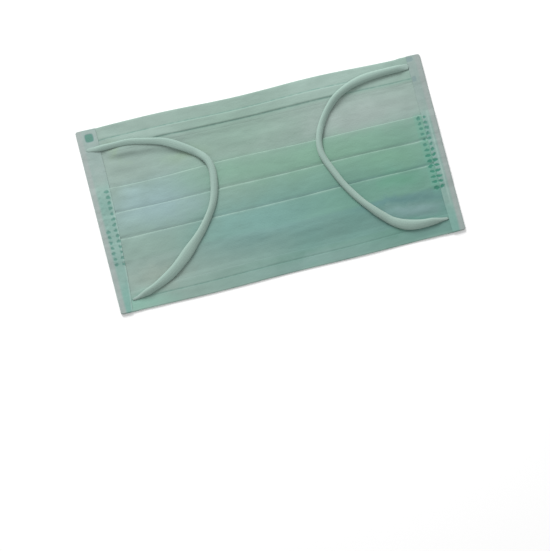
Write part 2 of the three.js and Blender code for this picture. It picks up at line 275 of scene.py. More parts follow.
def unit(rows):
    """Each row as a vector of length 1."""
    return rows / np.linalg.norm(rows, axis=1)[:, None]


def distance_along(path):
    """How far each point lies from the first, along the path."""
    return np.concatenate([[0], np.cumsum(np.linalg.norm(np.diff(path, axis=0), axis=1))])


# Meshes


def add_mesh(name, points, faces, attributes, material_of_face=None):
    """A smooth-shaded mesh object from points in millimetres. attributes holds one vector for each point by name."""
    mesh = bpy.data.meshes.new(name)
    mesh.from_pydata((np.asarray(points) * MM).tolist(), [], list(faces))
    mesh.polygons.foreach_set("use_smooth", np.ones(len(mesh.polygons), bool))
    for attribute, values in attributes.items():
        layer = mesh.attributes.new(attribute, "FLOAT_VECTOR", "POINT")
        layer.data.foreach_set("vector", np.asarray(values, np.float32).ravel())
    if material_of_face is not None:
        mesh.polygons.foreach_set("material_index", np.asarray(material_of_face, np.int32))
    mesh.update()
    made = bpy.data.objects.new(name, mesh)
    bpy.context.scene.collection.objects.link(made)
    return made


def grid_faces(rows, columns, first, flip):
    """The quads of a grid whose point (r, c) has the index first + r * columns + c."""
    r, c = np.meshgrid(np.arange(rows - 1), np.arange(columns - 1), indexing="ij")
    corner = first + r * columns + c
    quads = np.stack([corner, corner + 1, corner + columns + 1, corner + columns], axis=-1).reshape(-1, 4)
    return quads[:, ::-1] if flip else quads


def sheet_faces(rows, columns):
    """The quads of a closed sheet: one grid for each face, and four bands that join their edges all round."""
    count = rows * columns
    index = np.arange(count).reshape(rows, columns)
    rim = np.concatenate([index[0, :-1], index[:-1, -1], index[-1, :0:-1], index[:0:-1, 0]])
    after = np.roll(rim, -1)
    band = np.stack([rim, rim + count, after + count, after], axis=1)
    top = grid_faces(rows, columns, 0, True)
    bottom = grid_faces(rows, columns, count, False)
    kinds = np.concatenate([np.zeros(len(top)), np.ones(len(bottom)), np.zeros(len(band))])
    return np.concatenate([top, bottom, band[:, ::-1]]), kinds


def outward(points, faces):
    """The faces, turned round if the volume that they close comes out negative."""
    p = np.asarray(points)[faces]
    centre = np.asarray(points).mean(axis=0)
    a, b, c, d = (p[:, i] - centre for i in range(4))
    volume = (np.cross(a, b) * c).sum() + (np.cross(a, c) * d).sum()
    return faces if volume > 0 else faces[:, ::-1]


def walled(v, z, thickness):
    """Both faces of a sheet: the middle line (v, z) of each row moved half the thickness to either side, square to
    the line. The line runs along the first axis."""
    dv, dz = np.gradient(v, axis=0), np.gradient(z, axis=0)
    size = np.maximum(np.hypot(dv, dz), 1e-9)
    nv, nz = -dz / size * thickness / 2, dv / size * thickness / 2
    return (v + nv, z + nz), (v - nv, z - nz)


def add_sheet(name, sides, flat, marks, under=1, two_faced=False):
    """A closed sheet from the points of both its faces, with flat and marks at each, and the marks times under on the
    second face. A sheet that is two-faced has its second material there."""
    points = np.concatenate([side.reshape(-1, 3) for side in sides])
    faces, kinds = sheet_faces(*sides[0].shape[:2])
    both = {
        "flat": np.concatenate([flat.reshape(-1, 3)] * 2),
        "marks": np.concatenate([marks.reshape(-1, 3), marks.reshape(-1, 3) * under]),
    }
    return add_mesh(name, points, outward(points, faces).tolist(), both, kinds if two_faced else None)


def dress(piece, slot, solid, *materials):
    """Gives a piece its materials and its body, and puts it in the place of a solid. The slot is not used."""
    for material in materials:
        piece.data.materials.append(material)
    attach(piece, "root")
    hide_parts(solid)


# The cloth


def run(start, end, level, step, fine=()):
    """Points along a leaf from one v to another at one level, a step apart, and closer round each v in fine."""
    places = np.linspace(start, end, max(2, int(round(abs(end - start) / step)) + 1))
    near = [f + d for f in fine for d in (-0.75, -0.45, -0.25, 0, 0.25, 0.45, 0.75)]
    kept = [p for p in near if min(start, end) < p < max(start, end)]
    if kept:
        places = np.unique(np.concatenate([places, kept]))
        places = places if end > start else places[::-1]
    return np.stack([places, np.full(len(places), float(level))], axis=1)


def bend(middle, low_level, direction, upward, pieces=9):
    """A half circle in v and level round the middle: from one level to the next, out to the side of direction."""
    angle = np.linspace(-math.pi / 2, math.pi / 2, pieces)
    angle = angle if upward else -angle
    return np.stack([middle + direction * BEND * np.cos(angle), low_level + 0.5 + np.sin(angle) / 2], axis=1)


def slope(start, end, from_level, to_level, pieces):
    """Points that ease from one level at the start to another at the end."""
    v = np.linspace(start, end, pieces)
    share = ease(0, 1, (v - start) / (end - start))
    return np.stack([v, from_level + (to_level - from_level) * share], axis=1)


def section(cloth):
    """The middle line of the folded cloth as rows of (v, level), from the free edge of the nose hem, round the nose
    edge, through the three pleats and round the chin edge to the free edge of the chin hem."""
    height, nose, chin = cloth.height, cloth.nose_hem, cloth.height - cloth.chin_hem
    chin_seam = (height - CHIN_SEAM,)
    parts = [
        run(nose, FOLD_REACH, 0, 1.3, NOSE_SEAMS),
        bend(FOLD_REACH, 0, -1, True),
        run(FOLD_REACH, nose + HEM_STEP[0], 1, 1.0, (*NOSE_SEAMS, 7.6, 11.0)),
        slope(nose + HEM_STEP[0], nose + HEM_STEP[1], 1, 0.75, 4),
        slope(nose + HEM_STEP[1], nose + HEM_STEP[2], 0.75, 0, 7),
        run(nose + HEM_STEP[2], PLEATS[0][0] - FOLD_REACH, 0, 1.1),
    ]
    next_folds = [inner for _, inner in PLEATS[1:]] + [PLEATS[-1][0] + LAST_STEP]
    next_runs = [outer - FOLD_REACH for outer, _ in PLEATS[1:]] + [chin - HEM_STEP[2]]
    for (outer, inner), fold, end in zip(PLEATS, next_folds, next_runs):
        parts += [
            bend(outer - FOLD_REACH, 0, 1, True),
            run(outer - FOLD_REACH, inner + FOLD_REACH, 1, 1.8),
            bend(inner + FOLD_REACH, 1, -1, True),
            run(inner + FOLD_REACH, outer - DROP_START, 2, 0.6),
            slope(outer - DROP_START, fold + DROP_END, 2, 0, 11),
            run(fold + DROP_END, end, 0, 1.1),
        ]
    parts += [
        slope(chin - HEM_STEP[2], chin - HEM_STEP[1], 0, 0.75, 7),
        slope(chin - HEM_STEP[1], chin - HEM_STEP[0], 0.75, 1, 4),
        run(chin - HEM_STEP[0], height - FOLD_REACH, 1, 1.0, chin_seam),
        bend(height - FOLD_REACH, 0, 1, False),
        run(height - FOLD_REACH, chin, 0, 1.3, chin_seam),
    ]
    line = np.concatenate(parts)
    apart = np.concatenate([[True], np.hypot(*np.diff(line, axis=0).T) > 0.02])
    return line[apart]


def leaf_share(v, cloth):
    """How many leaves lie at v beyond the first, softly counted: two in a pleat and one in a hem."""
    pleats = sum(ease(inner - 0.2, inner + 0.4, v) * (1 - ease(outer - 1.0, outer + 1.0, v)) for outer, inner in PLEATS)
    nose, chin = cloth.nose_hem, cloth.height - cloth.chin_hem
    return 2 * pleats + (1 - ease(nose - 0.3, nose + 0.3, v) + ease(chin - 0.3, chin + 0.3, v))


def side_press(x):
    """How far the leaves are pressed together at x: not at all inside, wholly in the margin under the strips."""
    return ease(HALF_WIDTH - PRESSED[0], HALF_WIDTH - PRESSED[1], np.abs(x))


def stack_scale(x, v):
    """Share of the full leaf rise at (x, v): least at the folds and more in the middle of each leaf and in the hems,
    with a little unevenness along x."""
    folds = sum(hump(v, inner + 0.3, 2.6) + hump(v, outer - 0.3, 2.0) for outer, inner in PLEATS)
    rise = 0.49 - 0.07 * np.clip(folds, 0, 1)
    hems = 1 - ease(13.0, 17.0, v) + ease(81.0, 85.0, v)
    rise = rise * (1 - hems) + 0.50 * hems
    return rise * (1 + 0.05 * ripple(x, v, 46.0, 11, 2.2))


def swell(x, v):
    """How far the cloth stands off the table at (x, v): soft bulges in the plain panels, a ridge under the upper
    stretch of the left loop, a hollow at the lower right, and small puckers beside the strips."""
    free = 1 - side_press(x)
    upper = ease(14.5, 22.0, v) * (1 - ease(22.0, 31.0, v))
    lower = ease(66.0, 75.0, v) * (1 - ease(75.0, 85.0, v))
    soft = 0.20 * (1 + 0.8 * ripple(x, v, 38.0, 5, 1.6)) + 0.06 * ripple(x, v, 13.0, 6, 2.2)
    soft = soft + 0.035 * ripple(x, v, 5.0, 7, 4.0)
    below = v - 17.0 - 6.6 * (np.maximum(0, x + 70.0) / 36.7) ** 2.95
    ridge = 0.95 * ease(-12.0, -7.0, below) * (1 - ease(-1.5, 1.3, below))
    ridge = ridge * ease(-77.0, -68.0, x) * (1 - ease(-42.0, -33.0, x))
    hollow = -0.5 * hump(v, 74.0, 3.6) * hump(x, 60.0, 15.0)
    beside = ease(HALF_WIDTH - 30.0, HALF_WIDTH - 12.0, np.abs(x))
    puckers = 0.13 * beside * ripple(x, v, 6.5, 8, 3.5)
    return free * np.maximum(0, soft * (0.35 + upper + lower) + ridge + hollow + 0.2 * lower + puckers)


def wire_lift(x, v, wire):
    """Share of the nose wire's thickness that the panel over it rises: all of it on the wire, easing off beside it
    and past its ends."""
    half, end = wire.width / 2, wire.length / 2
    return (1 - ease(half - 0.1, half + 1.7, np.abs(v - wire.place))) * (1 - ease(end, end + 3, np.abs(x)))


def seam_mark(v, cloth):
    """1 on the middle of each welded seam, falling to 0 beside it."""
    return np.clip(sum(hump(v, place, SEAM_MARK) for place in (*NOSE_SEAMS, cloth.height - CHIN_SEAM)), 0, 1)


def dot_mark(away, v, columns):
    """1 in the middle of each weld dot of the columns, falling to 0 at its edge. The dots slant a little, each to
    its own side, and their sizes differ."""
    row = np.clip(np.round((v - DOT_FROM) / DOT_PITCH), 0, DOT_ROWS - 1)
    best = np.zeros(np.broadcast(away, v).shape)
    for column in columns:
        slant = 0.4 * np.sin(2.4 * row + column)
        size = 1 + 0.16 * np.sin(4.1 * row + 2 * column)
        out = away - column
        along = np.abs(v - DOT_FROM - row * DOT_PITCH - slant * out) / DOT_HALF[1] / size
        across = np.abs(out) / DOT_HALF[0] / size
        best = np.maximum(best, 1 - ease(0.6, 1.2, (along**3 + across**3) ** (1 / 3)))
    return best


def spot_mark(away, v, spots):
    """The depth of each welded spot inside it, falling to 0 at its edge, with the small waffle of the weld tool."""
    best = np.zeros(np.broadcast(away, v).shape)
    waffle = 0.86 + 0.14 * np.cos(2 * math.pi * away / 0.92) * np.cos(2 * math.pi * v / 0.96)
    for middle, place, half_away, half_v, depth in spots:
        out = ((np.abs(away - middle) / half_away) ** 4 + (np.abs(v - place) / half_v) ** 4) ** 0.25
        best = np.maximum(best, depth * (1 - ease(0.82, 1.12, out)))
    return best * waffle


def to_y(x, v, cloth):
    """y of a point at v: the distance from the middle, times the fan of the pleats at x."""
    return (cloth.height / 2 - v) * (1 - cloth.fan * x / HALF_WIDTH)


def edge_waver(x, v, cloth):
    """A small shift of v that lets folds and edges waver along x; both leaves of a fold move together."""
    out = (v - cloth.height / 2) / (cloth.height / 2)
    outline = 0.15 * np.abs(out) ** 6 * np.sin(math.pi * (x / HALF_WIDTH + 0.15))
    return 0.22 * ripple(x, 2.3 * v, 62.0, 3) * (1 - side_press(x)) + outline * np.sign(out)


def cloth_middle(x, v, level, cloth, wire):
    """Height of the sheet's middle at (x, v) and its level. Inside it is half the thickness, plus the leaf rise times
    the level and the stack scale, plus the swell. In the margins the levels are pressed nearly together."""
    rise = cloth.level * stack_scale(x, v)
    over_hem = (level > 0.5) * (v < cloth.nose_hem + 0.4)
    seams, lift = seam_mark(v, cloth), wire_lift(x, v, wire)
    free = cloth.thickness / 2 + rise * level + swell(x, v)
    free = free + over_hem * (0.33 + 0.08 * lift) * lift
    free = free - seams * (level > 0.5) * np.maximum(0, rise - cloth.thickness * 1.02)
    free = free + seams * (level < 0.5) * ((v < 14) | (v > 84)) * 0.10
    pressed = MARGIN_LOW + MARGIN_LEAF * np.minimum(level, leaf_share(v, cloth)) + 0.01 * ripple(x, v, 9.0, 21)
    share = side_press(x)
    return free * (1 - share) + pressed * share


def cloth_points(cloth, wire):
    """Both faces of the folded cloth: the middle line at each x, given its wall, with the marks of the weld dots."""
    line = section(cloth)
    reach = HALF_WIDTH - CLOTH_INSET
    right_dots = HALF_WIDTH - SIDES["right"]["columns"][1]
    extra = right_dots + np.array([-0.9, -0.55, -0.3, 0, 0.3, 0.55, 0.9])
    spans = np.linspace(-reach, reach, cloth.stations)
    x = np.sort(np.concatenate([spans[np.min(np.abs(spans[:, None] - extra), axis=1) > 0.35], extra]))
    v = np.repeat(line[:, :1], len(x), axis=1)
    level = np.repeat(line[:, 1:], len(x), axis=1)
    x = np.repeat(x[None, :], len(line), axis=0)
    z = cloth_middle(x, v, level, cloth, wire)
    (top_v, top_z), low = walled(v, z, cloth.thickness * (1 - 0.35 * side_press(x)))
    on_top = (level > 1.5) | (leaf_share(v, cloth) < 0.5)
    dots = dot_mark(HALF_WIDTH - x, v, SIDES["right"]["columns"][1:]) * on_top
    in_corner = np.maximum(0, CLOTH_CORNER - HALF_WIDTH + np.abs(x))
    inset = CLOTH_CORNER - np.sqrt(CLOTH_CORNER**2 - in_corner**2)
    faces = []
    for side_v, side_z in ((top_v, top_z - 0.14 * dots), low):
        side_v = side_v + edge_waver(x, side_v, cloth)
        side_v = side_v + (1 - side_v / (cloth.height / 2)) * inset
        faces.append(np.stack([x, to_y(x, side_v, cloth), side_z], axis=-1))
    along = distance_along(line * (1, LEVEL_ABOUT))
    flat = np.stack([x, v, np.repeat(along[:, None], x.shape[1], axis=1)], axis=-1) * MM
    # The crease mark is above 0 at the inner fold tips, where the inner face gets a painted highlight, and below 0 at
    # the outer fold tips, where the outer face gets painted shade.
    inner_at = (0.25, cloth.height - 0.25, *(inner + 0.25 for _, inner in PLEATS))
    outer_at = (0.0, cloth.height, *(outer - 0.25 for outer, _ in PLEATS))
    inner_tips, outer_tips = (sum(hump(v, tip, FOLD_MARK) for tip in tips) for tips in (inner_at, outer_at))
    inner_tips = inner_tips * np.maximum(np.abs(level - np.round(level)) > 0.04, 0.55 * (level > 0.9))
    crease = np.clip(np.where(inner_tips > 0.5 * outer_tips, inner_tips, -outer_tips), -1, 1)
    marks = np.stack([leaf_share(v, cloth) / 2, crease, seam_mark(v, cloth)], axis=-1)
    return faces, flat, marks, along[-1]


def height_map(points, cell=1.0):
    """The highest point of some surfaces in each square cell, as a table with its lowest corner."""
    p = np.concatenate([np.reshape(q, (-1, 3)) for q in points])
    low = p[:, :2].min(axis=0) - cell
    size = np.ceil((p[:, :2].max(axis=0) - low) / cell).astype(int) + 2
    table = np.zeros(size)
    index = np.floor((p[:, :2] - low) / cell).astype(int)
    np.maximum.at(table, (index[:, 0], index[:, 1]), p[:, 2])
    return table, low, cell


def lie_on(table, low, cell, path, half_width):
    """The height of the surface under a path: the highest cell within half its width of each point."""
    best = np.zeros(len(path))
    for shift in np.linspace(-half_width, half_width, 5):
        for other in np.linspace(-half_width, half_width, 5):
            at = np.floor((path[:, :2] + (shift, other) - low) / cell).astype(int)
            at = np.clip(at, 0, np.array(table.shape) - 1)
            best = np.maximum(best, table[at[:, 0], at[:, 1]])
    return best


# The side strips


def margin_top(v, cloth):
    """Height of the pressed margin's upper face at v: one leaf, and more where a pleat or a hem lies."""
    return MARGIN_LOW + 0.4 * cloth.thickness + MARGIN_LEAF * leaf_share(v, cloth)


def strip_points(side, cloth, strip):
    """Both faces of a strip folded round a side. Its middle line runs from the free edge of the outer leg on the
    table, round the side edge in a half circle, to the free edge of the inner leg on the margin. The line is carried
    from the nose edge to the chin edge, whose ends are cut back round the corners."""
    height, thickness, corner, rows = cloth.height, strip.thickness, strip.corner, SIDES[side]
    t = np.linspace(0, 1, STRIP_ROWS)[:, None]
    plain_v = t * height
    inner = rows["leg"][0] + (rows["leg"][1] - rows["leg"][0]) * t ** rows["narrows"]
    inner = inner + 0.10 * ripple(plain_v, 0 * plain_v, 21.0, 31)
    low = thickness / 2 + 0.02 + 0 * plain_v
    smooth_v = plain_v[:, :, None] + np.linspace(-1.6, 1.6, 9)
    high = margin_top(smooth_v, cloth).mean(axis=-1) + thickness / 2 + 0.04
    half = (high - low) / 2
    outer_part, inner_part = (np.linspace(0, 1, count) for count in LEG_COLUMNS)
    turn = np.linspace(-math.pi / 2, math.pi / 2, 13)[1:-1]
    centre = half + thickness / 2
    away = [
        OUTER_LEG + (centre - OUTER_LEG) * outer_part,
        centre - half * np.cos(turn),
        centre + (inner - centre) * inner_part,
    ]
    lift = [low + 0 * outer_part, low + half + half * np.sin(turn), high + 0 * inner_part]
    away, lift = np.concatenate(away, axis=1), np.concatenate(lift, axis=1)
    cut_back = corner + 0.1 - np.sqrt(np.maximum(0, corner**2 - np.clip(corner - away, 0, corner) ** 2))
    v = cut_back + t * (height - 2 * cut_back)
    over = np.concatenate([0 * outer_part, np.sin(turn) / 2 + 0.5, 1 + 0 * inner_part])[None, :]
    dots = dot_mark(away, v, rows["columns"]) * (away < inner - 0.5)
    spots = spot_mark(away, v, rows["spots"])
    dents = np.maximum(dots, spots)
    lift = lift + 0.05 * ripple(away, v, 11.0, 33, 0.6) * over
    thinned = ease(inner - 1.6, inner, away) * (over > 0.9)
    lift = lift - 0.07 * thinned
    sides = []
    walls = walled(away.T, lift.T, thickness * (1 - 0.5 * thinned.T))
    for (wall_away, wall_lift), dent in zip(walls, (0.12 * over - 0.08 * (1 - over), 0.03 * over)):
        x = rows["sign"] * (HALF_WIDTH - wall_away.T)
        y = to_y(x, v + edge_waver(x, v, cloth), cloth)
        sides.append(np.stack([x, y, wall_lift.T - dents * dent], axis=-1))
    flat = np.stack([away, v, over + 0 * v], axis=-1) * MM
    # The rim mark: a pale line, which at the free edge is painted light over the shade of the strip's step.
    rim = hump(away, inner - 0.15 if rows["rim"] is None else rows["rim"], 0.5) * (over > 0.9)
    rim = rim * (0.1 + 0.9 * ease(26, 38, v)) * (1 - ease(74, 84, v) * (rows["rim"] is not None))
    marks = np.stack([spots, 1 - ease(1.8, 3.6, away), rim + 0 * v], axis=-1)
    return sides, flat, marks


# The ear loops and the nose wire


def smooth_path(points, step):
    """A Catmull-Rom curve through the points, as points a step apart along it."""
    p = np.asarray(points, float)
    p = np.concatenate([[2 * p[0] - p[1]], p, [2 * p[-1] - p[-2]]])
    t = np.linspace(0, 1, 24, endpoint=False)[:, None]
    parts = []
    for a, b, c, d in zip(p[:-3], p[1:-2], p[2:-1], p[3:]):
        parts.append(0.5 * (2 * b + (c - a) * t + (2 * a - 5 * b + 4 * c - d) * t**2 + (3 * b - a - 3 * c + d) * t**3))
    line = np.concatenate([*parts, p[-2:-1]])
    along = distance_along(line)
    places = np.linspace(0, along[-1], int(round(along[-1] / step)) + 1)
    return np.stack([np.interp(places, along, line[:, k]) for k in range(3)], axis=1)


def tube(path, sizes, round_count, relief, lean=0.0, mark=0.0):
    """Rings along a path. Each is a superellipse of three sizes: its half width, and how far it reaches above and below
    the path. Its upper half is higher on its right and lower on its left by the share lean. relief(around, along) is
    how far the surface stands proud of it, and mark is kept with each ring for its material. Both ends are closed by
    a fan of triangles."""
    half_width, rise, depth = (np.broadcast_to(size, len(path))[:, None] for size in sizes)
    forward = unit(np.gradient(path, axis=0))
    side = unit(np.cross(forward, (0, 0, 1)))
    up = np.cross(side, forward)
    angle = np.linspace(0, 2 * math.pi, round_count, endpoint=False)
    a, b = (np.sign(wave) * np.abs(wave) ** (2 / TUBE_POWER) for wave in (np.cos(angle), np.sin(angle)))
    along = distance_along(path)
    proud = relief(angle[None, :], along[:, None])
    across = (half_width + proud) * a
    above = (np.where(b > 0, rise, depth) + proud) * b * (1 + np.broadcast_to(lean, along.shape)[:, None] * a * (b > 0))
    rings = path[:, None, :] + across[..., None] * side[:, None, :] + above[..., None] * up[:, None, :]
    mark = np.broadcast_to(mark, along.shape)[:, None]
    flat = np.stack(np.broadcast_arrays(along[:, None] * MM, angle[None, :] / (2 * math.pi), mark), axis=-1)
    count = len(path)
    index = np.arange(count * round_count).reshape(count, round_count)
    here, after = index[:-1], index[1:]
    quads = np.stack([here, after, np.roll(after, -1, 1), np.roll(here, -1, 1)], axis=-1).reshape(-1, 4)
    points = np.concatenate([rings.reshape(-1, 3), path[:1], path[-1:]])
    flat = np.concatenate([flat.reshape(-1, 3), flat[0, :1], flat[-1, :1]])
    first, last = index[0], index[-1]
    start = np.stack([np.full(round_count, len(points) - 2), first, np.roll(first, -1)], axis=1)
    end = np.stack([np.full(round_count, len(points) - 1), np.roll(last, -1), last], axis=1)
    return points, [*quads.tolist(), *start.tolist(), *end.tolist()], flat


def settle(path, surface, half_height):
    """The path laid on the surface below it: its height is that of a limp line that bridges small steps, which is
    the highest, over its neighbours, of their surface less the square of their distance over LIMP. It is then evened
    out with a bell over the distance."""
    along = distance_along(path[:, :2])
    apart = along[:, None] - along[None, :]
    laid = (surface[None, :] - apart**2 / LIMP).max(axis=1)
    kernel = hump(apart, 0, SETTLED)
    laid = (kernel * laid[None, :]).sum(axis=1) / kernel.sum(axis=1)
    return np.column_stack([path[:, :2], laid + half_height])


# Materials


class Signal:
    """What a node gives, with the arithmetic of Math nodes."""

    def __init__(self, graph, socket):
        self.graph = graph
        self.socket = socket

    def __add__(self, other):
        return self.graph.math("ADD", self, other)

    def __sub__(self, other):
        return self.graph.math("SUBTRACT", self, other)

    def __mul__(self, other):
        return self.graph.math("MULTIPLY", self, other)

    def __truediv__(self, other):
        return self.graph.math("DIVIDE", self, other)

    def __abs__(self):
        return self.graph.math("ABSOLUTE", self)


class Graph:
    """The nodes of one material, with its base colour as it stands. Most methods add a node and give the signal that
    comes out of it."""

    def __init__(self, name, base):
        self.base = base
        self.material = bpy.data.materials.new(name)
        self.material.use_nodes = True
        self.tree = self.material.node_tree
        self.surface = self.tree.nodes["Principled BSDF"]

    def add(self, kind, inputs, output=0, **settings):
        node = self.tree.nodes.new(kind)
        for key, value in settings.items():
            setattr(node, key, value)
        for key, value in inputs.items():
            self.plug(node.inputs[key], value)
        return Signal(self, node.outputs[output])

    def plug(self, socket, value):
        if isinstance(value, Signal):
            self.tree.links.new(value.socket, socket)
        elif hasattr(value, "__len__") and len(value) == 3 and socket.type == "RGBA":
            socket.default_value = (*value, 1.0)
        else:
            socket.default_value = value

    def split(self, vector):
        node = self.add("ShaderNodeSeparateXYZ", {"Vector": vector}).socket.node
        return [Signal(self, node.outputs[axis]) for axis in "XYZ"]

    def attribute(self, name):
        """The three numbers that a piece keeps under a name at each point."""
        return self.split(self.add("ShaderNodeAttribute", {}, "Vector", attribute_name=name))

    def join(self, x, y, z=0.0):
        return self.add("ShaderNodeCombineXYZ", {"X": x, "Y": y, "Z": z})

    def math(self, operation, a, b=0.0, clamp=False):
        return self.add("ShaderNodeMath", {0: a, 1: b}, operation=operation, use_clamp=clamp)

    def vector(self, operation, a, b=(0.0, 0.0, 0.0), output=0):
        return self.add("ShaderNodeVectorMath", {0: a, 1: b}, output, operation=operation)

    def reach(self, a, b):
        """The length of the line across a and up b."""
        return self.vector("LENGTH", self.join(a, b), output="Value")

    def mapped(self, vector, scale, turn=0.0):
        inputs = {"Vector": vector, "Rotation": (0, 0, math.radians(turn)), "Scale": scale}
        return self.add("ShaderNodeMapping", inputs)

    def noise(self, vector, scale, detail=3.0, roughness=0.55, output=0):
        inputs = {"Vector": vector, "Scale": scale, "Detail": detail, "Roughness": roughness}
        return self.add("ShaderNodeTexNoise", inputs, output)

    def between(self, value, low, high, to_low=0.0, to_high=1.0):
        """A smooth step of the value, which goes from to_low at low to to_high at high."""
        inputs = {"Value": value, "From Min": low, "From Max": high, "To Min": to_low, "To Max": to_high}
        return self.add("ShaderNodeMapRange", inputs, interpolation_type="SMOOTHSTEP")

    def tint(self, factor, colour, blend="MIX"):
        """Lays a colour over the base by a factor."""
        inputs = {0: factor, 6: self.base, 7: colour}
        self.base = self.add("ShaderNodeMix", inputs, 2, data_type="RGBA", blend_type=blend)

    def shade(self, value, low, high, dark, light):
        """Multiplies the base by a tone, which goes from dark to light as the value goes from low to high."""
        self.tint(1.0, self.between(value, low, high, dark, light), "MULTIPLY")

    def bump(self, height, distance, normal=None):
        inputs = {"Height": height, "Distance": distance}
        if normal is not None:
            inputs["Normal"] = normal
        return self.add("ShaderNodeBump", inputs)

    def finish(self, normal, roughness, sheen=0.0):
        values = {"Base Color": self.base, "Normal": normal, "Roughness": roughness, "Specular IOR Level": 0.22}
        if sheen:
            values.update({"Sheen Weight": sheen, "Sheen Roughness": 0.6})
        for key, value in values.items():
            self.plug(self.surface.inputs[key], value)
        return self.material


def nonwoven_relief(graph, place):
    """Spunbond nonwoven: bond points on a slanting lattice, long fibres in three directions, the cloudiness of the web,
    and soft creases along the width. Gives the normal and the fibres."""
    lattice = graph.mapped(place, (1 / BOND_PITCH / MM,) * 3, 45)
    x, y, _ = graph.split(graph.vector("SUBTRACT", graph.vector("FRACTION", lattice), (0.5, 0.5, 0.0)))
    bond = graph.between(graph.reach(x, y), 0.14, 0.34)
    fibres = [graph.noise(graph.mapped(place, (5200.0, 420.0, 1.0), turn), 1.0, 2.0) for turn in (12, -38, 74)]
    web = graph.math("MAXIMUM", graph.math("MAXIMUM", fibres[0], fibres[1]), fibres[2])
    cloud = graph.noise(place, 310.0, 4.0, 0.6)
    normal = graph.bump(bond * graph.between(web, 0.35, 0.75, 0.55, 1.0) + cloud * 1.2, 0.000018)
    creases = graph.noise(graph.mapped(place, (110.0, 260.0, 1.0), 6), 1.0, 3.0, 0.5)
    return graph.bump(creases, 0.00030, normal), web


def patch(graph, x, v, middle, reach):
    """1 at the middle of a soft round patch, falling smoothly to 0 at its reach, both in mm along x and v."""
    a = (x - middle[0] * MM) / (reach[0] * MM)
    b = (v - middle[1] * MM) / (reach[1] * MM)
    return graph.between(graph.reach(a, b), 0.0, 1.0, 1.0, 0.0)


# Soft tints of the inner face, most of them its own uneven colour: middle and reach in mm along x and v, strength and
# colour. Two of them are painted shade, as marked below.
INNER_TINTS = [
    ((-10, 20), (52, 22), 0.80, (0.222, 0.340, 0.280)),
    ((48, 4), (60, 16), 0.60, (0.345, 0.455, 0.415)),
    ((-58, 44), (40, 20), 0.60, (0.285, 0.418, 0.450)),
    ((-18, 38), (40, 13), 0.72, (0.192, 0.345, 0.262)),
    ((52, 24), (46, 13), 0.60, (0.330, 0.400, 0.378)),
    ((30, 40), (62, 14), 0.45, (0.190, 0.365, 0.250)),
    ((62, 50), (30, 10), 0.45, (0.165, 0.335, 0.225)),
    ((-10, 66), (56, 20), 0.60, (0.160, 0.325, 0.310)),
    ((62, 62), (20, 8), 0.75, (0.112, 0.285, 0.200)),
    # Painted shade in the hollow at the lower right.
    ((60, 72.6), (28, 3.8), 0.60, (0.100, 0.215, 0.225)),
    ((66, 79), (20, 6), 0.55, (0.195, 0.290, 0.305)),
    ((-70, 14), (6, 8), 0.45, (0.270, 0.385, 0.265)),
    ((-36, 24), (15, 7), 0.45, (0.250, 0.370, 0.250)),
    ((-64, 80), (22, 9), 0.50, (0.300, 0.360, 0.310)),
    ((12, 92), (60, 8), 0.50, (0.235, 0.350, 0.330)),
    # Painted shadow under the lower stretch of the right loop.
    ((64, 87), (24, 5), 0.55, (0.085, 0.225, 0.175)),
    ((76, 91), (28, 9), 0.75, (0.135, 0.250, 0.225)),
    ((-78, 92), (26, 9), 0.75, (0.225, 0.430, 0.350)),
]
BOND_PITCH = 1.3  # between two bond points of the nonwoven, in mm
# Colours of small places: painted highlights along the lips, the seams on either face, the cloth beside the right
# strip, painted shade along the outer folds, the strips' pale rims, partly painted light, and their greyer ends at the
# nose, painted shade in the grooves between the wales, and the scuffs on the wire.
LIP_HIGHLIGHT_PAINTED = (0.36, 0.49, 0.43)
INNER_SEAM = (0.11, 0.225, 0.19)
OUTER_SEAM = (0.06, 0.22, 0.16)
BESIDE_STRIP = (0.13, 0.34, 0.26)
OUTER_FOLD_SHADE = (0.03, 0.21, 0.14)
RIM_PALE_AND_PAINTED_LIGHT = (0.38, 0.50, 0.46)
NOSE_END = (0.292, 0.362, 0.345)
WALE_GROOVE_SHADE = (0.22, 0.36, 0.31)
SCUFF = (0.55, 0.58, 0.56)


